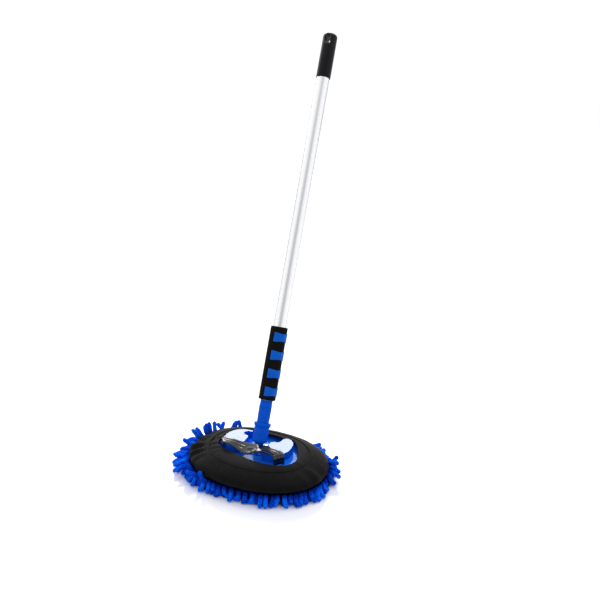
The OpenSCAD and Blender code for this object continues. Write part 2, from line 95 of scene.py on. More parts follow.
def camera_axes():
    """Right, up and back of the camera, as unit vectors."""
    back = Vector((
        math.sin(AZIMUTH) * math.cos(ELEVATION),
        -math.cos(AZIMUTH) * math.cos(ELEVATION),
        math.sin(ELEVATION),
    ))
    right = Vector((math.cos(AZIMUTH), math.sin(AZIMUTH), 0.0))
    return right, back.cross(right), back


def add_camera():
    """The camera, at the photograph's viewing angle."""
    right, up, back = camera_axes()
    data = bpy.data.cameras.new("camera")
    data.sensor_width = SENSOR_MM
    data.lens = LENS_MM
    data.clip_end = VIEW_DEPTH
    camera = bpy.data.objects.new("camera", data)
    bpy.context.scene.collection.objects.link(camera)
    camera.location = CAMERA_AWAY * back + CAMERA_RIGHT * right + CAMERA_UP * up
    camera.rotation_euler = (-back).to_track_quat("-Z", "Y").to_euler()
    bpy.context.scene.camera = camera


def add_softbox(name, place, target, size, power):
    """A rectangular area light at place that points at target."""
    data = bpy.data.lights.new(name, "AREA")
    data.shape = "RECTANGLE"
    data.size, data.size_y = size
    data.energy = power
    light = bpy.data.objects.new(name, data)
    bpy.context.scene.collection.objects.link(light)
    light.location = place
    light.rotation_euler = (Vector(target) - Vector(place)).to_track_quat("-Z", "Y").to_euler()
    light.visible_camera = False


def add_lights():
    """Three softboxes, in a white room that is darker on the camera's side."""
    head = (0.0, 0.0, 0.05)
    add_softbox("softbox_back", (-1.14, 2.27, 1.66), head, (1.0, 0.62), 16.0)
    add_softbox("softbox_left", (-2.2, 0.9, 1.3), (-0.1, 0.0, 0.05), (0.5, 0.9), 8.0)
    add_softbox("softbox_top", (0.5, 1.1, 2.3), head, (1.2, 0.8), 12.0)
    world = bpy.data.worlds.new("studio")
    world.use_nodes = True
    tree = world.node_tree
    coordinates = tree.nodes.new("ShaderNodeTexCoord")
    facing = tree.nodes.new("ShaderNodeVectorMath")
    facing.operation = "DOT_PRODUCT"
    set_inputs(facing, {0: coordinates.outputs["Generated"], 1: DARK_SIDE})
    share = spread(tree, facing.outputs["Value"], 0.5, 1.0)
    colour = ramp(tree, share, ROOM_COLOURS)
    set_inputs(tree.nodes["Background"], {"Color": colour, "Strength": ROOM_STRENGTH})
    bpy.context.scene.world = world
    bpy.context.scene.view_settings.view_transform = "Standard"


# ---------- materials

def set_inputs(node, inputs):
    """Sets inputs of a node to values, or links them to the outputs of other nodes."""
    for name, value in inputs.items():
        if isinstance(value, bpy.types.NodeSocket):
            node.id_data.links.new(value, node.inputs[name])
        else:
            node.inputs[name].default_value = value


def new_material(name, colour, roughness):
    """A material with a Principled shader; returns it with its tree and shader."""
    material = bpy.data.materials.new(name)
    material.use_nodes = True
    tree = material.node_tree
    shader = tree.nodes["Principled BSDF"]
    set_inputs(shader, {"Base Color": (*colour, 1.0), "Roughness": roughness})
    return material, tree, shader


def object_coordinates(tree, scale=(1.0, 1.0, 1.0)):
    """Object coordinates in metres, scaled."""
    coordinates = tree.nodes.new("ShaderNodeTexCoord")
    mapping = tree.nodes.new("ShaderNodeMapping")
    set_inputs(mapping, {"Scale": scale, "Vector": coordinates.outputs["Object"]})
    return mapping.outputs["Vector"]


def noise_texture(tree, vector, scale, detail=3.0, rough=0.55):
    """Noise from 0 to 1, with about scale blotches to the metre."""
    texture = tree.nodes.new("ShaderNodeTexNoise")
    set_inputs(texture, {"Scale": scale, "Detail": detail, "Roughness": rough,
                         "Vector": vector})
    return texture.outputs["Fac"]


def ramp(tree, value, stops):
    """A colour ramp over value; stops is a list of (place, colour)."""
    node = tree.nodes.new("ShaderNodeValToRGB")
    elements = node.color_ramp.elements
    while len(elements) < len(stops):
        elements.new(0.5)
    for element, (place, colour) in zip(elements, stops):
        element.position = place
        element.color = (*colour, 1.0)
    set_inputs(node, {"Fac": value})
    return node.outputs["Color"]


def spread(tree, value, low, high):
    """Maps 0 to 1 onto low to high."""
    node = tree.nodes.new("ShaderNodeMapRange")
    set_inputs(node, {"To Min": low, "To Max": high, "Value": value})
    return node.outputs["Result"]


def add_bump(tree, shader, height, distance, strength=1.0, under=None):
    """Bumps the shader by height, on top of an earlier bump if one is given."""
    bump = tree.nodes.new("ShaderNodeBump")
    set_inputs(bump, {"Strength": strength, "Distance": distance, "Height": height})
    if under is not None:
        set_inputs(bump, {"Normal": under})
    set_inputs(shader, {"Normal": bump.outputs["Normal"]})
    return bump.outputs["Normal"]


def vary_colour(tree, shader, value, colour, dark, light, last=0.7):
    """Base colour from a dark to a light shade of colour, as value goes from 0.3 to last."""
    shades = [tuple(c * k for c in colour) for k in (dark, light)]
    stops = [(0.3, shades[0]), (last, shades[1])]
    set_inputs(shader, {"Base Color": ramp(tree, value, stops)})


def plastic(name, colour, roughness, grain_mm, grain_depth, coat=0.0, shine=0.5):
    """Moulded plastic: a little mottle in its colour and gloss, and a fine moulded grain."""
    material, tree, shader = new_material(name, colour, roughness)
    place = object_coordinates(tree)
    mottle = noise_texture(tree, place, 90.0, 4.0)
    vary_colour(tree, shader, mottle, colour, 0.88, 1.08)
    gloss = spread(tree, noise_texture(tree, place, 260.0, 5.0), roughness * 0.8,
                   roughness * 1.25)
    grain = noise_texture(tree, place, 1.0 / (grain_mm * MM), 2.0)
    add_bump(tree, shader, grain, grain_depth * MM)
    set_inputs(shader, {"Roughness": gloss, "Specular IOR Level": shine, "Coat Weight": coat,
                        "Coat Roughness": 0.06})
    return material


def chenille():
    """Fuzzy microfibre: sheen, short tufts, and painted shade in the hollows between them."""
    material, tree, shader = new_material("chenille", (0.0, 0.05, 0.6), 0.9)
    place = object_coordinates(tree)
    tufts = noise_texture(tree, place, 520.0, 5.0, 0.7)
    # The points' painted brightness: painted shade at the noodles' roots and on the inner rows
    shade = tree.nodes.new("ShaderNodeAttribute")
    shade.attribute_name = "shade"
    light = tree.nodes.new("ShaderNodeMath")
    light.operation = "MULTIPLY"
    set_inputs(light, {0: tufts, 1: shade.outputs["Fac"]})
    # A ramp from near-black, painted shade in the hollows, to a bright blue, painted highlights on
    # the tufts
    blues = [(0.10, (0.0, 0.001, 0.02)), (0.28, (0.0, 0.010, 0.14)), (0.40, (0.0, 0.030, 0.42)),
             (0.50, (0.0, 0.072, 0.74)), (0.62, (0.006, 0.17, 1.0))]
    coarse = add_bump(tree, shader, tufts, 1.2 * MM, 1.0)
    fuzz = noise_texture(tree, place, 2300.0, 3.0, 0.7)
    add_bump(tree, shader, fuzz, 0.4 * MM, 0.8, coarse)
    set_inputs(shader, {"Base Color": ramp(tree, light.outputs["Value"], blues),
                        "Sheen Weight": 0.12, "Sheen Roughness": 0.4,
                        "Sheen Tint": (0.05, 0.3, 1.0, 1.0), "Specular IOR Level": 0.04})
    return material


WAVE_SCALE = 0.16    # of a wave texture with bands about one unit apart
DRAW_LINES = 900.0    # of a metal, to the metre


def cloth(name, colour, roughness, threads_mm, depth, sheen, shine=0.1):
    """Knitted or woven cloth: fine slanting threads, a finer fuzz, and an uneven colour."""
    material, tree, shader = new_material(name, colour, roughness)
    place = object_coordinates(tree)
    uneven = noise_texture(tree, place, 70.0, 5.0)
    vary_colour(tree, shader, uneven, colour, 0.6, 1.5, last=0.72)
    threads = tree.nodes.new("ShaderNodeTexWave")
    threads.bands_direction = "DIAGONAL"
    set_inputs(threads, {"Scale": WAVE_SCALE / (threads_mm * MM), "Distortion": 1.2,
                         "Detail": 1.0, "Vector": place})
    first = add_bump(tree, shader, threads.outputs["Fac"], depth * MM, 0.7)
    add_bump(tree, shader, noise_texture(tree, place, 1500.0, 2.0), depth * MM, 0.5, first)
    set_inputs(shader, {"Sheen Weight": sheen, "Sheen Roughness": 0.45,
                        "Specular IOR Level": shine})
    return material


def metal(name, colour, roughness, streak_axis, streaks, edge):
    """Metal with fine draw lines along an axis (0 to 2), streaks times as long as wide."""
    material, tree, shader = new_material(name, colour, roughness)
    stretch = [DRAW_LINES] * 3
    stretch[streak_axis] = DRAW_LINES / streaks
    lines = noise_texture(tree, object_coordinates(tree, tuple(stretch)), 1.0, 3.0)
    gloss = spread(tree, lines, roughness * 0.75, roughness * 1.3)
    vary_colour(tree, shader, lines, colour, 0.93, 1.04)
    add_bump(tree, shader, lines, 0.012 * MM)
    set_inputs(shader, {"Roughness": gloss, "Metallic": 1.0, "Specular Tint": (*edge, 1.0)})
    return material


def foam(name, colour, cell_mm, depth):
    """Foam: a matt skin pricked with small cells."""
    material, tree, shader = new_material(name, colour, 0.82)
    place = object_coordinates(tree)
    cells = tree.nodes.new("ShaderNodeTexVoronoi")
    set_inputs(cells, {"Scale": 1.0 / (cell_mm * MM), "Vector": place})
    first = add_bump(tree, shader, cells.outputs["Distance"], depth * MM, 0.8)
    add_bump(tree, shader, noise_texture(tree, place, 300.0, 5.0), depth * MM, 0.6, first)
    vary_colour(tree, shader, noise_texture(tree, place, 500.0, 4.0), colour, 0.7, 1.6,
                last=0.75)
    set_inputs(shader, {"Specular IOR Level": 0.06})
    return material


def floor_material():
    """A white table with a soft gloss."""
    material, tree, shader = new_material("floor", (0.96, 0.96, 0.985), 0.16)
    blotches = noise_texture(tree, object_coordinates(tree), 6.0, 3.0)
    set_inputs(shader, {"Roughness": spread(tree, blotches, 0.13, 0.2)})
    return material


MATERIALS = {
    "chenille": chenille(),
    "backing": cloth("backing", (0.005, 0.02, 0.16), roughness=0.9, threads_mm=0.6, depth=0.1,
                     sheen=0.1),
    "foam": foam("foam", (0.4, 0.4, 0.42), cell_mm=0.9, depth=0.25),
    "mesh": cloth("mesh", (0.001, 0.001, 0.0012), roughness=0.6, threads_mm=0.35, depth=0.08,
                  sheen=0.0, shine=0.02),
    "knit": cloth("knit", (0.003, 0.003, 0.0034), roughness=0.36, threads_mm=0.3, depth=0.05,
                  sheen=0.0, shine=0.09),
    "stretch_cloth": cloth("stretch_cloth", (0.0032, 0.003, 0.0031), roughness=0.5,
                           threads_mm=0.5, depth=0.05, sheen=0.015, shine=0.08),
    "elastic": cloth("elastic", (0.01, 0.01, 0.01), roughness=0.8, threads_mm=0.5, depth=0.1,
                     sheen=0.03),
    "blue_plastic": plastic("blue_plastic", (0.0, 0.09, 0.68), roughness=0.3, grain_mm=0.5,
                            grain_depth=0.004, coat=1.0, shine=0.02),
    # The base plate: a satin copy of the blue plastic, painted lighter as painted light for the
    # light its deep well keeps off
    "blue_plate_painted_light": plastic("blue_plate_painted_light", (0.0, 0.15, 0.85), roughness=0.4, grain_mm=0.5,
                          grain_depth=0.004, coat=0.25, shine=0.1),
    "blue_satin": plastic("blue_satin", (0.0, 0.085, 0.60), roughness=0.45, grain_mm=0.5,
                          grain_depth=0.006, shine=0.06),
    "steel": metal("steel", (0.62, 0.62, 0.64), roughness=0.3, streak_axis=0, streaks=8.0,
                   edge=(0.8, 0.8, 0.8)),
    # Painted reflection: the tube's dark edge tint darkens it towards its sides, for the dark
    # lines that reflections draw along its edges
    "tube_aluminium": metal("tube_aluminium", (0.93, 0.932, 0.94), roughness=0.2,
                            streak_axis=2, streaks=60.0, edge=(0.2, 0.2, 0.21)),
    "black_plastic": plastic("black_plastic", (0.004, 0.004, 0.005), roughness=0.4,
                             grain_mm=0.25, grain_depth=0.02, shine=0.15),
    "white_plastic": plastic("white_plastic", (0.8, 0.8, 0.78), roughness=0.35, grain_mm=0.4,
                             grain_depth=0.006),
    "grip_foam": foam("grip_foam", (0.0045, 0.0043, 0.0042), cell_mm=0.7, depth=0.3),
    "grip_pad": plastic("grip_pad", (0.0, 0.095, 0.52), roughness=0.5, grain_mm=0.35,
                        grain_depth=0.03, shine=0.1),
    "bar_plastic": plastic("bar_plastic", (0.003, 0.003, 0.0035), roughness=0.16, grain_mm=0.8,
                           grain_depth=0.003, coat=1.0, shine=0.1),
}
NODE_SLOTS = {row["node"]: row["material_slot"] for row in frame["record"]["subparts"]}


def dress(piece, slot):
    """Gives a piece one material only."""
    piece.data.materials.clear()
    piece.data.materials.append(MATERIALS[slot])


# ---------- building meshes

def make_piece(name, points, faces, slot, body, smooth=True, shades=None):
    """A mesh piece in a material slot, riding on a body; shades are its points' painted
    brightness.
    """
    mesh = bpy.data.meshes.new(name)
    mesh.from_pydata([tuple(p) for p in points], [], faces)
    if shades:
        mesh.attributes.new("shade", "FLOAT", "POINT").data.foreach_set("value", shades)
    mesh.validate()
    mesh.update()
    if smooth:
        mesh.polygons.foreach_set("use_smooth", [True] * len(mesh.polygons))
    piece = bpy.data.objects.new(name, mesh)
    bpy.context.scene.collection.objects.link(piece)
    dress(piece, slot)
    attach(piece, body)
    return piece


def around(k, count):
    """The angle of step k of count equal steps round a circle."""
    return 2 * math.pi * k / count


def grid_faces(rows, columns, close_rows=False, close_columns=False, start=0):
    """Quads of a grid of points that is rows long and columns wide."""
    faces = []
    for i in range(rows if close_rows else rows - 1):
        j = (i + 1) % rows
        for k in range(columns if close_columns else columns - 1):
            m = (k + 1) % columns
            faces.append((start + i * columns + k, start + j * columns + k,
                          start + j * columns + m, start + i * columns + m))
    return faces


def solid_faces(rows, columns, start=0, flip=False):
    """Faces of such a grid closed into a solid, with flat ends at its first and last rows."""
    first = range(start, start + columns)
    last = range(start + (rows - 1) * columns, start + rows * columns)
    ends = (reversed(first), last) if flip else (first, reversed(last))
    return grid_faces(rows, columns, close_columns=True, start=start) + [tuple(e) for e in ends]


def soft_box(node, inset_x=0.0, inset_y=0.0):
    """Half length, half width, base and top of a CAD node, in millimetres, less two insets."""
    low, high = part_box(node)
    return ((high[0] - low[0]) / 2 / MM - inset_x, (high[1] - low[1]) / 2 / MM - inset_y,
            low[2] / MM, high[2] / MM)


OVAL_POWER = 2.2


def oval_point(angle, half_length, half_width, x=0.0, y=0.0):
    """A point of a superellipse, in millimetres."""
    c, s = math.cos(angle), math.sin(angle)
    power = 2.0 / OVAL_POWER
    u = half_length * math.copysign(abs(c) ** power, c)
    v = half_width * math.copysign(abs(s) ** power, s)
    return (x + u, y + v)


def curve_through(keys, t):
    """A smooth curve through equally spaced keys (tuples), t from 0 to 1."""
    spans = len(keys) - 1
    at = min(max(t, 0.0), 1.0) * spans
    i = min(int(at), spans - 1)
    f = at - i
    before, a, b = keys[max(i - 1, 0)], keys[i], keys[i + 1]
    after = keys[min(i + 2, spans)]
    return tuple(
        0.5 * (2 * q + (r - p) * f + (2 * p - 5 * q + 4 * r - s) * f ** 2
               + (3 * q - p - 3 * r + s) * f ** 3)
        for p, q, r, s in zip(before, a, b, after)
    )


def ring_frames(path):
    """Two unit vectors across a path at each of its points, turning as little as they can."""
    path = [Vector(p) for p in path]
    ahead = [(path[min(i + 1, len(path) - 1)] - path[max(i - 1, 0)]).normalized()
             for i in range(len(path))]
    side = ahead[0].orthogonal().normalized()
    frames = []
    for way in ahead:
        side = (side - side.dot(way) * way).normalized()
        frames.append((side, way.cross(side)))
    return frames


def sweep(points, faces, path, radii, sides, twist=0.0):
    """Adds a closed round body along path to points and faces."""
    start = len(points)
    frames = ring_frames(path)
    for centre, (side, other), radius in zip(path, frames, radii):
        for k in range(sides):
            a = around(k, sides) + twist
            points.append(Vector(centre) + radius * (math.cos(a) * side + math.sin(a) * other))
    faces.extend(grid_faces(len(path), sides, close_columns=True, start=start))
    first, last = len(points), len(points) + 1
    points.append(Vector(path[0]))
    points.append(Vector(path[-1]))
    end = start + (len(path) - 1) * sides
    for k in range(sides):
        m = (k + 1) % sides
        faces.append((first, start + m, start + k))
        faces.append((last, end + k, end + m))


def rim_cord(centres, sides, out, up):
    """A closed oval cord round the head through centres; out and up are its half sizes."""
    points = []
    for centre in centres:
        away = Vector((centre.x, centre.y, 0)).normalized()
        for s in range(sides):
            a = around(s, sides)
            points.append(centre + MM * (out * math.cos(a) * away
                                         + up * math.sin(a) * Vector((0, 0, 1))))
    return points, grid_faces(len(centres), sides, close_rows=True, close_columns=True)


# ---------- chenille

NOODLE_R = 3.6
LOWEST = 4.55    # how near the floor a noodle's middle line comes
SHIFT_X, SHIFT_Y = 4.5, 0.6    # middle of the pile, the backing and the pad
PILE_INSET = (18.5, 15)    # from the CAD pile's rim to the noodles' roots
FRINGE_STEPS = 23
FRINGE_SIDES = 10
FRINGE_DROOP, STRAY_DROOP = 0.9, 0.35
FRINGE_REACH = (22, 26)
LEFT_EXTRA = 9    # how much longer the noodles at the left end are
PAINTED_ROOT_LIGHT = 0.3    # painted shade at a root; the outer row's roots, less hidden, are painted lighter
STEEPEST_DOWN, STEEPEST_UP = -88, 40    # degrees
ROUND = 6.28    # a full turn, as the random draws use it
# Inner rows are painted darker and every root is painted dark: painted shade between the noodles.
# Rows of the fringe: inset from the rim, drop below the cloth, number, painted brightness, root's
FRINGE_ROWS = ((0.0, 2.2, 70, 1.08, 0.5), (5.5, 5.6, 66, 0.85, PAINTED_ROOT_LIGHT),
               (10.0, 9.6, 66, 0.65, PAINTED_ROOT_LIGHT), (14.0, 14.0, 62, 0.5, PAINTED_ROOT_LIGHT))

# Groups of noodles that stray from the fringe: first and last place round the rim (degrees),
# number, height of the root, heading away from straight outwards and lift above level (both
# in degrees), length
STRAYS = [
    (172, 124, 10, 21, -15, 45, 28),
    (170, 142, 6, 15, -10, 12, 28),
    (110, 110, 1, 22, 35, 15, 21),
    (212, 244, 7, 11, 0, 50, 25),
    (178, 210, 8, 15, 10, 5, 28),
    (60, 46, 3, 20, 25, 5, 24),
    (34, 14, 5, 20, -35, 20, 26),
]
STRAY_SCATTER = 12    # degrees

# The field under the head: spacing, its scatter, depth below the cloth, slope of the noodles
# (radians), length, and share of the oval that it fills
FIELD_PITCH, FIELD_SCATTER = 8.4, 1.5
FIELD_COLUMNS, FIELD_ROWS, ROW_PITCH = 16, 12, 0.87    # counted out from the middle
FIELD_DEPTH, FIELD_SLOPE, FIELD_REACH, FIELD_EDGE = 4, -0.83, (20, 25), 0.92
FIELD_STEPS, FIELD_SIDES = 9, 7


def noodle_radii(count, radius, rng):
    """Radii along a noodle: round ends, a knobbly middle and fine cross ribs."""
    knobs = rng.uniform(1.5, 3.0)
    phase = rng.uniform(0, ROUND)
    radii = []
    for i in range(count):
        t = i / (count - 1)
        short = min(t, 1 - t) / 0.14
        end = math.sqrt(1 - (1 - short) ** 2) if short < 1 else 1.0
        knob = 1 + 0.06 * math.sin(knobs * ROUND * t + phase)
        rib = 1 + (0.055 if i % 2 else -0.055)
        radii.append(max(0.18, end) * radius * knob * rib * MM)
    return radii


def noodle_painted_shade(count, sides, light, rng, root=PAINTED_ROOT_LIGHT):
    """Painted brightness of a noodle's points: painted shade at its root, and its own overall
    tone.
    """
    own = light * rng.uniform(0.82, 1.2)
    shades = []
    for i in range(count):
        t = i / (count - 1)
        shades.extend([own * min(1.0, root + 1.3 * t)] * sides)
    return shades + [own * root, own]


def noodle_path(start, way, length, steps, droop, rng):
    """A noodle's middle line: it leaves start along way, droops, and lies down on the floor."""
    here = Vector(start)
    way = Vector(way).normalized()
    wander = Vector((rng.gauss(0, 1), rng.gauss(0, 1), rng.gauss(0, 1))) * 0.35 / steps
    path = [here * MM]
    step = length / (steps - 1)
    for _ in range(steps - 1):
        way = (way + Vector((0, 0, -droop / steps)) + wander).normalized()
        here = here + step * way
        if here.z < LOWEST:
            here.z = LOWEST
            way.z = max(way.z, 0.0) + 0.02
            way.normalize()
        path.append(here * MM)
    return path


def outward(angle, half_length, half_width):
    """Heading straight out of the oval at an angle round it."""
    x, y = oval_point(angle, half_length, half_width)
    return math.atan2(y / half_width ** 2, x / half_length ** 2)


def aim(heading, lift):
    """The unit vector at a heading round Z and a lift above level, in radians."""
    return (math.cos(lift) * math.cos(heading), math.cos(lift) * math.sin(heading),
            math.sin(lift))


def fringe_lift(angle, row, rng):
    """How far a fringe noodle points up or down, by its place round the head, in degrees."""
    front = max(0.0, math.cos(angle - math.radians(-75)))
    left = max(0.0, math.cos(angle - math.radians(182))) ** 2
    back = max(0.0, math.cos(angle - math.radians(105)))
    mean = -30 - 44 * front ** 0.5 + 32 * left + 26 * back - 6 * row
    return rng.gauss(mean, 5 + 9 * left + 5 * back)


def add_chenille():
    """The pile: four rows of noodles round the rim, groups that stray, and the field below."""
    half_length, half_width, _, top = soft_box("chenille_pile", *PILE_INSET)
    rng = random.Random(11)
    points, faces, shades = [], [], []
    for row, (inset, drop, count, light, root) in enumerate(FRINGE_ROWS):
        for i in range(count):
            angle = around(i + 0.5 * (row % 2) + rng.uniform(-0.2, 0.2), count)
            x, y = oval_point(angle, half_length - inset, half_width - inset, SHIFT_X, SHIFT_Y)
            lift = max(STEEPEST_DOWN, min(STEEPEST_UP, fringe_lift(angle, row, rng)))
            heading = outward(angle, half_length, half_width) + rng.gauss(0, 0.2)
            reach = rng.uniform(*FRINGE_REACH) + LEFT_EXTRA * max(0.0, -math.cos(angle)) ** 3
            path = noodle_path((x, y, top - drop), aim(heading, math.radians(lift)), reach,
                               FRINGE_STEPS, FRINGE_DROOP, rng)
            sweep(points, faces, path,
                  noodle_radii(FRINGE_STEPS, NOODLE_R * rng.uniform(0.95, 1.12), rng),
                  FRINGE_SIDES, rng.uniform(0, 1))
            shades.extend(noodle_painted_shade(FRINGE_STEPS, FRINGE_SIDES, light, rng, root))
    for first, last, number, height, swing, lift, length in STRAYS:
        for i in range(number):
            angle = math.radians(first + (last - first) * i / max(1, number - 1))
            x, y = oval_point(angle, half_length - 1, half_width - 1, SHIFT_X, SHIFT_Y)
            aside, rise = rng.gauss(swing, STRAY_SCATTER), rng.gauss(lift, 0.8 * STRAY_SCATTER)
            heading = outward(angle, half_length, half_width) + math.radians(aside)
            reach = length + rng.uniform(-2, 2) + LEFT_EXTRA * hill(angle, 188, 26)
            path = noodle_path((x, y, height), aim(heading, math.radians(rise)), reach,
                               FRINGE_STEPS, STRAY_DROOP, rng)
            sweep(points, faces, path, noodle_radii(FRINGE_STEPS, NOODLE_R, rng), FRINGE_SIDES)
            shades.extend(noodle_painted_shade(FRINGE_STEPS, FRINGE_SIDES, 1.0, rng))
    fringe = make_piece("chenille_fringe", points, faces, "chenille", "head", shades=shades)
    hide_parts("chenille_pile")

    points, faces, shades = [], [], []
    for i in range(-FIELD_COLUMNS, FIELD_COLUMNS + 1):
        for j in range(-FIELD_ROWS, FIELD_ROWS + 1):
            x = (i + 0.5 * (j % 2)) * FIELD_PITCH + rng.uniform(-FIELD_SCATTER, FIELD_SCATTER)
            y = j * FIELD_PITCH * ROW_PITCH + rng.uniform(-FIELD_SCATTER, FIELD_SCATTER)
            if (abs(x) / half_length) ** 2 + (abs(y) / half_width) ** 2 > FIELD_EDGE:
                continue
            path = noodle_path((x, y, top - FIELD_DEPTH), aim(rng.uniform(0, ROUND), FIELD_SLOPE),
                               rng.uniform(*FIELD_REACH), FIELD_STEPS, FRINGE_DROOP, rng)
            sweep(points, faces, path, noodle_radii(FIELD_STEPS, NOODLE_R, rng), FIELD_SIDES)
            # The field's noodles are painted at 0.8 brightness, with painted shade at their roots.
            shades.extend(noodle_painted_shade(FIELD_STEPS, FIELD_SIDES, 0.8, rng))
    make_piece("chenille_underside", points, faces, "chenille", "head", shades=shades)


OVAL_COLUMNS = 144
BACKING_INSET = (4.5, 5)


def add_backing():
    """The cloth that the noodles are sewn to, and its bound edge."""
    length, width, base, top = soft_box("backing_cloth", *BACKING_INSET)
    z = (base + top) / 2
    # Rings from the middle of the top to the middle of the underside: share of the length and
    # width, and height above the middle of the cloth
    rings = [(0.03, 0.35), (0.3, 0.38), (0.55, 0.34), (0.8, 0.38), (0.97, 0.34), (1.0, 0.0),
             (0.97, -0.34), (0.8, -0.38), (0.55, -0.34), (0.3, -0.38), (0.03, -0.35)]
    points = []
    for size, lift in rings:
        for k in range(OVAL_COLUMNS):
            angle = around(k, OVAL_COLUMNS)
            x, y = oval_point(angle, length * size, width * size, SHIFT_X, SHIFT_Y)
            points.append(Vector((x, y, z + lift + 0.06 * math.sin(9 * angle) * size)) * MM)
    faces = solid_faces(len(rings), OVAL_COLUMNS, flip=True)
    cloth_piece = make_piece("backing_sheet", points, faces, "backing", "head")
    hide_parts("backing_cloth")

    edge = [Vector((*oval_point(around(k, OVAL_COLUMNS), length, width, SHIFT_X, SHIFT_Y), z)) * MM
            for k in range(OVAL_COLUMNS)]
    points, faces = rim_cord(edge, 8, 0.9, 0.62)
    binding = make_piece("backing_binding", points, faces, "backing", "head")


PUFF_FRAMES = 20


def puff(piece, voxel_mm, pressure, cap_mm):
    """Swells a closed soft piece in a short cloth simulation, with a cap on every point."""
    scene = bpy.context.scene
    remesh = piece.modifiers.new("remesh", "REMESH")
    remesh.mode = "VOXEL"
    remesh.voxel_size = voxel_mm * MM
    keep_result(piece)
    start = vertex_places(piece.data)
    swell = piece.modifiers.new("cloth", "CLOTH")
    swell.settings.use_pressure = True
    swell.settings.uniform_pressure_force = pressure
    swell.settings.effector_weights.gravity = 0.0
    swell.point_cache.frame_end = PUFF_FRAMES
    for step in range(1, PUFF_FRAMES + 1):
        scene.frame_set(step)
    keep_result(piece)
    moved = vertex_places(piece.data) - start
    size = np.linalg.norm(moved, axis=1, keepdims=True)
    moved *= np.minimum(1.0, cap_mm * MM / np.maximum(size, 1e-9))
    piece.data.vertices.foreach_set("co", (start + moved).ravel())
    piece.data.polygons.foreach_set("use_smooth", [True] * len(piece.data.polygons))
    piece.data.update()
    scene.frame_set(1)
    piece.modifiers.new("soften", "SUBSURF").levels = 1


def vertex_places(mesh):
    """The places of a mesh's points, as an array with a row for each."""
    places = np.empty(len(mesh.vertices) * 3)
    mesh.vertices.foreach_get("co", places)
    return places.reshape(-1, 3)


def keep_result(piece):
    """Turns what the modifiers make of a piece into its own mesh, and drops them."""
    seen = piece.evaluated_get(bpy.context.evaluated_depsgraph_get())
    result = bpy.data.meshes.new_from_object(seen)
    piece.modifiers.clear()
    piece.data = result


FOAM_INSET = (4.5, 4)


def add_foam():
    """The foam pad: an oval slab with soft edges, a little dished where the plate presses."""
    length, width, base, top = soft_box("foam_pad", *FOAM_INSET)
    rise = top - base
    # Rings: share of the length and width, and height as a share of the pad's
    rings = [(0.02, 0.0), (0.5, 0.0), (0.93, 0.0), (0.975, 0.05), (0.995, 0.16), (1.0, 0.3),
             (0.985, 0.46), (0.955, 0.62), (0.92, 0.78), (0.885, 0.9), (0.85, 0.97), (0.82, 1.0),
             (0.78, 0.985), (0.5, 0.985), (0.02, 0.985)]
    points = []
    for size, level in rings:
        for k in range(OVAL_COLUMNS):
            angle = around(k, OVAL_COLUMNS)
            ripple = 1 + 0.003 * math.sin(13 * angle + 4 * level) * (size > 0.8)
            x, y = oval_point(angle, length * size * ripple, width * size * ripple, SHIFT_X,
                              SHIFT_Y)
            points.append(Vector((x, y, base + rise * level)) * MM)
    faces = solid_faces(len(rings), OVAL_COLUMNS)
    pad = make_piece("foam_cushion", points, faces, "foam", "head")
    puff(pad, voxel_mm=4.5, pressure=4.0, cap_mm=1.0)
    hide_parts("foam_pad")


# ---------- cover

# Shape of the cover from its rim up to the seam: half length, half width, height, x, y
COVER_KEYS = [(117.2, 81.8, 24.2, 4.8, 0.8), (121.4, 85.8, 26.8, 4.8, 0.8),
              (119.8, 84.2, 32.0, 4.6, 0.8), (114.6, 79.6, 36.6, 4.4, 0.8),
              (106.0, 72.6, 40.7, 4.6, 1.0), (97.4, 66.0, 43.8, 5.2, 1.3),
              (89.5, 60.2, 46.0, 6.0, 1.5)]
# The ring, from the seam to the hem and a little way back under it: share of the way, height
RING_KEYS = [(0.0, 46.0), (0.3, 48.0), (0.62, 49.3), (0.88, 49.8), (0.99, 49.3), (1.0, 48.1),
             (0.985, 46.9), (0.86, 46.6)]
COVER_COLUMNS = 288
# The hem is a smooth curve through these corners, a few millimetres outside both lobes
HEM_CORNERS = [(75, 6), (66, 26), (51, 44), (28, 47), (6, 51), (-18, 51), (-42, 47), (-60, 34),
               (-67, 13), (-66, -10), (-50, -21), (-24, -28), (4, -35), (36, -37), (65, -30),
               (78, -12)]
HEM_Y = 6.0    # middle of the opening
HEM_STEPS = 720    # steps round the opening


def closed_curve(corners, steps):
    """Points on a smooth closed curve through the corners."""
    points = []
    for i in range(len(corners)):
        a, b, c, d = (Vector(corners[(i + k) % len(corners)]) for k in (-1, 0, 1, 2))
        for k in range(steps):
            u = k / steps
            points.append((2 * b + (c - a) * u + (2 * a - 5 * b + 4 * c - d) * u * u
                           + (3 * b - 3 * c + d - a) * u ** 3) / 2)
    return points


def radii_round(points, middle_y):
    """How far a closed outline is from (0, middle_y) at each step of a circle."""
    bearings = [math.degrees(math.atan2(p.y - middle_y, p.x)) for p in points]
    reaches = [math.hypot(p.x, p.y - middle_y) for p in points]
    return np.interp(np.arange(HEM_STEPS) * 360 / HEM_STEPS, bearings, reaches, period=360)


HEM_RADII = radii_round(closed_curve(HEM_CORNERS, 24), HEM_Y)


def hem_point(angle, beyond=0.0):
    """The hem at a bearing from the middle of the opening; beyond is further out."""
    at = math.degrees(angle) % 360 * (HEM_STEPS / 360)
    i = int(at) % HEM_STEPS
    here, following = HEM_RADII[i], HEM_RADII[(i + 1) % HEM_STEPS]
    radius = here + (following - here) * (at - int(at)) + beyond
    return Vector((radius * math.cos(angle), HEM_Y + radius * math.sin(angle), 0))


def cover_shape(angle, t):
    """A point of the cover at an angle round the head; t goes from the rim to the seam."""
    length, width, z, x, y = curve_through(COVER_KEYS, t)
    return Vector((*oval_point(angle, length, width, x, y), z))


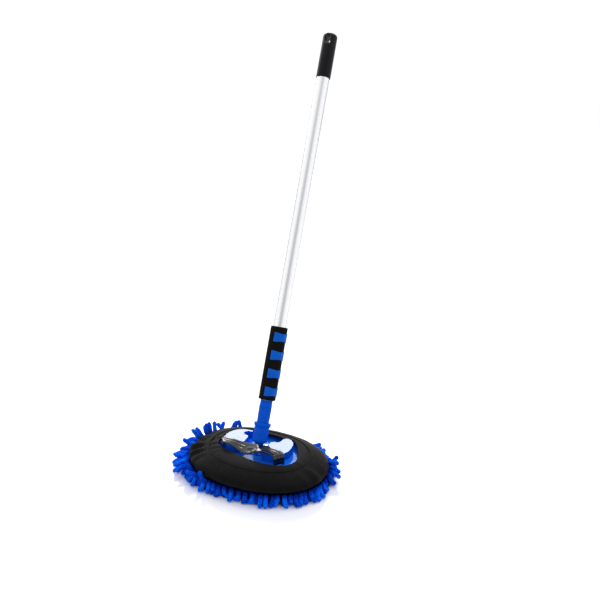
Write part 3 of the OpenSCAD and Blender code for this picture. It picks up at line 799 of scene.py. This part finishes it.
def ring_shape(angle, t):
    """A point of the ring at an angle round the head; t goes from the seam round the hem."""
    share, z = curve_through(RING_KEYS, t)
    seam = cover_shape(angle, 1.0)
    hem = hem_point(math.atan2(seam.y - HEM_Y, seam.x))
    low = ring_sag(angle) * min(1.0, 1.6 * share)
    return Vector((seam.x + (hem.x - seam.x) * share, seam.y + (hem.y - seam.y) * share, z - low))


def pleats(angle):
    """Depth of the cover's radial folds: strong at the left end, faint at the right."""
    left = hill(angle, 190, 21)
    right = hill(angle, -16, 16)
    wave = math.sin(25 * angle + 0.8 + 1.2 * math.sin(5 * angle))
    return (4.3 * left * wave + 1.2 * right * math.sin(21 * angle)
            + 0.3 * math.sin(9 * angle + 1.1) * math.sin(4 * angle))


def hill(angle, middle, reach):
    """1 at a middle angle round the head, fading to 0 on both sides; both in degrees."""
    away = math.remainder(angle - math.radians(middle), 2 * math.pi)
    return math.exp(-(away / math.radians(reach)) ** 2)


def ring_sag(angle):
    """How much lower the ring and its elastic lie behind the pole."""
    return 3.0 * hill(angle, 105, 26)


def surface_point(shape, angle, t, lift=0.0, fold=1.0):
    """A point on the cover, in metres; lift is its height above the surface in millimetres."""
    here = shape(angle, t)
    along = shape(angle + 0.01, t) - shape(angle - 0.01, t)
    across = shape(angle, min(t + 0.02, 1)) - shape(angle, max(t - 0.02, 0))
    normal = along.cross(across).normalized()
    return (here + (lift + fold * pleats(angle)) * normal) * MM


def cover_fold(t):
    """The folds fade towards the rim and the seam."""
    return math.sin(math.pi * min(1.0, max(0.0, (t - 0.1) / 0.8))) ** 0.8


def closed_band(shape, columns, rows, thickness, fold):
    """A closed shell over a stretch of the cover, its outside on the surface."""
    points = []
    outside = [(i, 0.0) for i in range(rows)]
    inside = [(i, -thickness) for i in reversed(range(rows))]
    for i, lift in outside + inside:
        t = i / (rows - 1)
        for k in range(columns):
            points.append(surface_point(shape, around(k, columns), t, lift, fold(t)))
    return points, grid_faces(2 * rows, columns, close_rows=True, close_columns=True)


# The knit: cells round the head and up it, thickness, where it starts and how far it goes up
KNIT_COLUMNS, KNIT_ROWS, KNIT = 176, 15, 0.75
KNIT_START, KNIT_SPAN = 0.13, 0.85
CELL_CORNERS = [(0.0, 1.0), (1.0, 0.5), (1.0, -0.5), (0.0, -1.0), (-1.0, -0.5), (-1.0, 0.5)]
# A cell's rings, from its outline to its hole: share of the cell, and height
CELL_RINGS = ((1.0, KNIT), (0.56, KNIT * 1.15), (0.5, 0.0))


def add_mesh_cover():
    """The mesh cover: a thin closed liner, and an open knit of six-sided cells on it."""
    points, faces = closed_band(cover_shape, COVER_COLUMNS, 24, 0.8, cover_fold)
    liner = make_piece("cover_liner", points, faces, "mesh", "head")

    points, faces = [], []
    half_a = math.pi / KNIT_COLUMNS
    # Cells of neighbouring rows lock into each other, so a cell is taller than its row
    half_t = KNIT_SPAN / KNIT_ROWS * 0.66
    for j in range(KNIT_ROWS):
        for i in range(KNIT_COLUMNS):
            centre_a = around(i + 0.5 * (j % 2), KNIT_COLUMNS)
            centre_t = KNIT_START + KNIT_SPAN * (j + 0.5) / KNIT_ROWS
            start = len(points)
            for size, lift in CELL_RINGS:
                for ca, ct in CELL_CORNERS:
                    a = centre_a + ca * half_a * size
                    t = centre_t + ct * half_t * size
                    points.append(surface_point(cover_shape, a, t, lift, cover_fold(t)))
            faces.extend(grid_faces(len(CELL_RINGS), len(CELL_CORNERS), close_columns=True,
                                    start=start))
    knit_piece = make_piece("cover_knit", points, faces, "mesh", "head")
    knit_piece.data.materials[0] = MATERIALS["knit"]
    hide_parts("mesh_cover")


PIPING_R = 1.05
# Two rows of stitches: place from the seam towards the hem, and number
STITCH_ROWS = ((0.07, 170), (0.36, 150))
STITCH_SHARE = 0.62    # of the way from one stitch to the next
# The elastic in the hem: steps round it, sides, half width, half height and ripples
BAND_COLUMNS, BAND_SIDES, BAND_OUT, BAND_UP, BAND_RIPPLES = 360, 8, 0.8, 0.6, 60


def add_cover_ring():
    """The ring of smooth cloth inside the seam, with its piping, stitches and elastic."""
    points, faces = closed_band(ring_shape, COVER_COLUMNS, 30, 0.9, lambda t: 0.25 * (1 - t))
    ring = make_piece("ring_cloth", points, faces, "stretch_cloth", "head")
    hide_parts("cover_ring")

    seam = [surface_point(cover_shape, around(k, COVER_COLUMNS), 1.0, 0.6, 0.0)
            for k in range(COVER_COLUMNS)]
    points, faces = rim_cord(seam, 8, PIPING_R, PIPING_R)
    piping = make_piece("seam_piping", points, faces, "stretch_cloth", "head")

    points, faces = [], []
    for t, count in STITCH_ROWS:
        for i in range(count):
            path = [surface_point(ring_shape, around(i + s * STITCH_SHARE, count), t,
                                  0.3 * math.sin(math.pi * s), 0.0) for s in (0, 0.5, 1.0)]
            sweep(points, faces, path, [0.16 * MM, 0.24 * MM, 0.16 * MM], 5)
    stitches = make_piece("cover_stitches", points, faces, "stretch_cloth", "head")

    # The elastic is gathered into small ripples
    *_, base, top = soft_box("hem_elastic")
    middle = (base + top) / 2
    points = []
    for k in range(BAND_COLUMNS):
        angle = around(k, BAND_COLUMNS)
        ripple = 0.18 * math.sin(BAND_RIPPLES * angle)
        for s in range(BAND_SIDES):
            b = around(s, BAND_SIDES)
            reach = 1.4 + BAND_OUT * math.cos(b) + ripple
            height = middle + BAND_UP * math.sin(b) - ring_sag(angle)
            points.append((hem_point(angle, reach) + Vector((0, 0, height))) * MM)
    faces = grid_faces(BAND_COLUMNS, BAND_SIDES, close_rows=True, close_columns=True)
    elastic = make_piece("hem_band", points, faces, "elastic", "head")
    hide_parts("hem_elastic")


# ---------- clamp bar

BAR_PIN_X, BAR_PIN_Z = -58.0, 50.5
BAR_BACK = -3.0    # y of the back edge
BAR_END_W, BAR_W, BAR_PAD_W = 9.0, 17.0, 9.0    # width at the pin, along the bar, thumb pad
BAR_BEND_X, BAR_FOOT_X, BAR_FOOT_Z = 53.0, 60.0, 38.4
BAR_HALF_T = 1.3
BAR_TURN_X, BAR_TURN = 38.0, 42.0    # where the right end starts to turn, and how far
BAR_COLUMNS = 64    # steps across one face
BAR_STEPS, BEND_STEPS, FOOT_STEPS = 130, 24, 15
GROOVES, GROOVE_REACH = (0.34, 0.64), 0.045    # shares of the width
# The thumb dimple: its middle, and its half sizes along and across the bar
DIMPLE_X, DIMPLE_ACROSS, DIMPLE_HALF_X, DIMPLE_HALF_ACROSS = 1, 17.5, 8.0, 5.6
EYE_R = 2.55    # middle of the eye's wall
# From the eye to the bar: x and z from the pin
EYE_TAIL = [(0.9, 3.2), (1.5, 4.9), (2.4, 6.5), (3.9, 7.7), (6.0, 8.0)]
EYES = ((BAR_BACK - 0.2, BAR_BACK - 2.75), (BAR_BACK - 6.25, BAR_BACK - 8.8))
# The catch: its profile out from the foot and up, its stations across the bar with their
# sizes, and how far out its own middle is
CATCH_PROFILE = [(3.4, 0.0), (7.0, 0.0), (6.7, 1.2), (5.2, 4.6), (4.8, 5.0), (3.8, 5.0),
                 (3.4, 4.6)]
CATCH_STATIONS = ((5.0, 0.8), (5.4, 1.0), (15.6, 1.0), (16.0, 0.8))
CATCH_MIDDLE = 5.2


def bar_height(x):
    """Height of the bar's middle line, in millimetres."""
    if x < -13:
        return 58 + 1.1 * math.cos(math.pi * (x + 52) / 39)
    if x < 18:
        return 58 + 1.1 * math.cos(2 * math.pi * (x - 18) / 62)
    return 59.1 - 1.2 * ((x - 18) / 35) ** 2


def bar_width(x):
    """Width of the bar, from its back edge forwards."""
    grow = min(1.0, max(0.0, (x - BAR_PIN_X) / 8))
    bump = (1 + math.cos(math.pi * (x + 4) / 32)) / 2 if abs(x + 4) < 32 else 0.0
    wide_foot = 3.0 * min(1.0, max(0.0, (x - 28) / 16))
    return (BAR_END_W + (BAR_W - BAR_END_W) * (1 - math.cos(math.pi * grow)) / 2
            + BAR_PAD_W * bump + wide_foot)


def bar_place(x, across, z):
    """Where a point of the bar goes: its right end turns towards the front."""
    run = max(0.0, x - BAR_TURN_X)
    turn = math.radians(BAR_TURN) * min(1.0, run / (BAR_FOOT_X - BAR_TURN_X))
    radius = (BAR_FOOT_X - BAR_TURN_X) / math.radians(BAR_TURN)
    past = max(0.0, x - BAR_FOOT_X)
    edge_x = min(x, BAR_TURN_X) + radius * math.sin(turn) + past * math.cos(turn)
    edge_y = BAR_BACK - radius * (1 - math.cos(turn)) - past * math.sin(turn)
    return Vector((edge_x - across * math.sin(turn), edge_y - across * math.cos(turn), z)) * MM


def bar_path():
    """Stations along the bar: x and z of the middle, then x and z of the upward normal."""
    stations = []
    start = BAR_PIN_X - 1.4
    for i in range(BAR_STEPS):
        x = start + (BAR_BEND_X - start) * i / BAR_STEPS
        slope = (bar_height(x + 0.1) - bar_height(x - 0.1)) / 0.2
        size = math.hypot(1, slope)
        stations.append((x, bar_height(x), -slope / size, 1 / size))
    radius = BAR_FOOT_X - BAR_BEND_X
    centre = bar_height(BAR_BEND_X) - radius
    for i in range(BEND_STEPS):
        a = math.pi / 2 * i / (BEND_STEPS - 1)
        stations.append((BAR_BEND_X + radius * math.sin(a), centre + radius * math.cos(a),
                         math.sin(a), math.cos(a)))
    for i in range(1, FOOT_STEPS + 1):
        z = centre + (BAR_FOOT_Z - centre) * i / FOOT_STEPS
        stations.append((BAR_FOOT_X, z, 1.0, 0.0))
    return stations


def bar_relief(x, across, width):
    """Height of the grooves and of the thumb dimple above the bar's smooth top."""
    left = min(1.0, max(0.0, (-12 - x) / 12))
    right = min(1.0, max(0.0, (x - 16) / 6))
    grooves = sum(math.exp(-((across / width - place) / GROOVE_REACH) ** 2)
                  for place in GROOVES)
    away = math.hypot((x - DIMPLE_X) / DIMPLE_HALF_X,
                      (across - DIMPLE_ACROSS) / DIMPLE_HALF_ACROSS)
    dimple = -1.3 * math.exp(-(away / 0.72) ** 4) + 0.7 * math.exp(-((away - 1.12) / 0.26) ** 2)
    return 0.35 - 1.0 * max(left, right) * grooves + dimple


def bar_tilt(x, across):
    """How far the bar dips towards its front edge, most of all left of the thumb pad."""
    middle = math.exp(-((x + 14) / 22) ** 4)
    return 0.16 * middle * across + 0.05 * max(0.0, across - 12)


def add_clamp_bar():
    """The black bar, with its grooves and its dimple, and the two eyes that it turns on."""
    stations = bar_path()
    points = []
    count = len(stations)
    for i, (x, z, nx, nz) in enumerate(stations):
        width = bar_width(x)
        end = min(1.0, (min(i, count - 1 - i) + 0.35) / 2.2)
        end = math.sqrt(1 - (1 - end) ** 2)
        for side in (1, -1):
            upper = side > 0
            for k in range(BAR_COLUMNS + 1) if upper else range(BAR_COLUMNS - 1, 0, -1):
                across = (1 - math.cos(math.pi * k / BAR_COLUMNS)) / 2 * width
                near = min(across, width - across) / 1.1
                edge = math.sqrt(1 - (1 - near) ** 2) if near < 1 else 1.0
                h = BAR_HALF_T
                if upper:
                    h += bar_relief(x, across, width)
                h *= side * edge * end
                low = bar_tilt(x, across) * nz
                points.append(bar_place(x + nx * h, across, z - low + nz * h))
    faces = solid_faces(count, 2 * BAR_COLUMNS)

    # The eyes are rolled round the pin, on each side of its lug
    for y_back, y_front in EYES:
        path = [(BAR_PIN_X + EYE_R * math.cos(math.radians(a)),
                 BAR_PIN_Z + EYE_R * math.sin(math.radians(a))) for a in range(300, 80, -12)]
        path += [(BAR_PIN_X + x, BAR_PIN_Z + z) for x, z in EYE_TAIL]
        start = len(points)
        for i, (x, z) in enumerate(path):
            before, after = path[max(i - 1, 0)], path[min(i + 1, len(path) - 1)]
            tx, tz = after[0] - before[0], after[1] - before[1]
            size = math.hypot(tx, tz)
            nx, nz = -tz / size, tx / size
            thick = 0.9 if i < len(path) - 1 else 0.7
            for y, h in ((y_back, thick * 0.6), (y_back - 0.35, thick), (y_front + 0.35, thick),
                         (y_front, thick * 0.6), (y_front, -thick * 0.6),
                         (y_front + 0.35, -thick), (y_back - 0.35, -thick),
                         (y_back, -thick * 0.6)):
                points.append(Vector((x + nx * h, y, z + nz * h)) * MM)
        faces.extend(solid_faces(len(path), (len(points) - start) // len(path), start))
    bar = make_piece("ribbed_bar", points, faces, "bar_plastic", "bar")
    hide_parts("clamp_bar")


def add_catch():
    """The small wedge that the bar's foot snaps behind, along the foot's outer face."""
    foot_z = BAR_FOOT_Z - 0.4
    middle = CATCH_MIDDLE
    points = []
    for across, size in CATCH_STATIONS:
        for out, up in CATCH_PROFILE:
            points.append(bar_place(BAR_FOOT_X + middle + (out - middle) * size, across,
                                    foot_z + up * size))
    faces = solid_faces(len(CATCH_STATIONS), len(CATCH_PROFILE))
    catch = make_piece("foot_catch", points, faces, "blue_plastic", "head", smooth=False)
    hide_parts("bar_catch")


# ---------- grip

JOINTS = {joint["name"]: joint for joint in frame["record"]["behaviour"]["joints"]}
PIVOT = Vector(JOINTS["head_tilt"]["pos_m"])
UP_POLE = Vector(JOINTS["pole_extension"]["axis"]).normalized()
# Where the grip starts along the pole from the pivot, its length and radius, the tube's radius
GRIP_S, GRIP_L, GRIP_R, TUBE_R = 85.85, 126.5, 14.7, 11.0
GRIP_SOFT = 1.2    # length of a soft end
GRIP_COLUMNS, GRIP_RINGS = 72, 60


def pole_point(radius, angle, s):
    """A point round the pole, in metres: s and radius in millimetres."""
    right = Vector((1, 0, 0))
    behind = UP_POLE.cross(right)
    return PIVOT + MM * (s * UP_POLE + radius * (math.cos(angle) * right
                                                 + math.sin(angle) * behind))


def add_grip():
    """The foam sleeve: soft round ends, and a skin that is never quite even."""
    # Radius and distance from the grip's end, from the tube out to the side
    profile = [(TUBE_R + 0.05, 0.5), (TUBE_R + 0.9, 0.0), (GRIP_R - 1.1, 0.05),
               (GRIP_R - 0.35, 0.4), (GRIP_R - 0.02, GRIP_SOFT)]
    rings = list(profile)
    for i in range(1, GRIP_RINGS):
        rings.append((GRIP_R, GRIP_SOFT + (GRIP_L - 2 * GRIP_SOFT) * i / GRIP_RINGS))
    rings += [(r, GRIP_L - s) for r, s in reversed(profile)]
    points = []
    for r, s in rings:
        for k in range(GRIP_COLUMNS):
            a = around(k, GRIP_COLUMNS)
            soft = 0.05 * math.sin(0.11 * s + 3 * a) * math.sin(0.05 * s + a)
            points.append(pole_point(r - abs(soft) * (r > GRIP_R - 0.5), a, GRIP_S + s))
    faces = grid_faces(len(rings), GRIP_COLUMNS, close_rows=True, close_columns=True)
    grip = make_piece("foam_sleeve", points, faces, "grip_foam", "pole")
    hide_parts("foam_grip")


# ---------- hard parts

SHARP = math.radians(32)
WELD_WITHIN = 0.01
# How far the edges of each hard part are rounded
ROUNDED = {"left_lobe": 0.7, "right_lobe": 0.7, "base_plate": 0.6, "pivot_bracket": 0.4,
           "knuckle": 0.4, "socket_collar": 0.35, "pole_adapter": 0.3, "end_cap": 0.5,
           "bar_hinge": 0.3, **{f"grip_pad_{k}": 0.25 for k in range(1, 5)}}


def round_edges(node, width_mm):
    """Rounds the sharp edges of a CAD node."""
    piece = frame["nodes"][node]
    weld = piece.modifiers.new("weld", "WELD")
    weld.merge_threshold = WELD_WITHIN * MM
    bevel = piece.modifiers.new("round_edges", "BEVEL")
    bevel.width = width_mm * MM
    bevel.segments = 3
    bevel.limit_method = "ANGLE"
    bevel.angle_limit = SHARP
    bevel.use_clamp_overlap = True
    bevel.harden_normals = True


def dress_cad():
    """Gives each CAD node its material, and rounds the edges of the hard parts."""
    for name, piece in frame["nodes"].items():
        dress(piece, NODE_SLOTS[name])
    for node in ("socket_collar", "pole_adapter", "knuckle"):
        dress(frame["nodes"][node], "blue_satin")
    # The base plate gets the blue painted lighter, as painted light
    dress(frame["nodes"]["base_plate"], "blue_plate_painted_light")
    for node, width in ROUNDED.items():
        round_edges(node, width)


def add_floor():
    """A wide white floor, just under the pile."""
    mesh = bpy.data.meshes.new("floor")
    half = FLOOR_HALF
    mesh.from_pydata([(-half, -half, 0), (half, -half, 0), (half, half, 0), (-half, half, 0)],
                     [], [(0, 1, 2, 3)])
    floor = bpy.data.objects.new("floor", mesh)
    bpy.context.scene.collection.objects.link(floor)
    floor.data.materials.append(floor_material())
    floor.location.z = cad_box[0][2] - FLOOR_GAP


add_camera()
add_lights()
add_floor()
dress_cad()
add_chenille()
add_backing()
add_foam()
add_mesh_cover()
add_cover_ring()
add_clamp_bar()
add_catch()
add_grip()
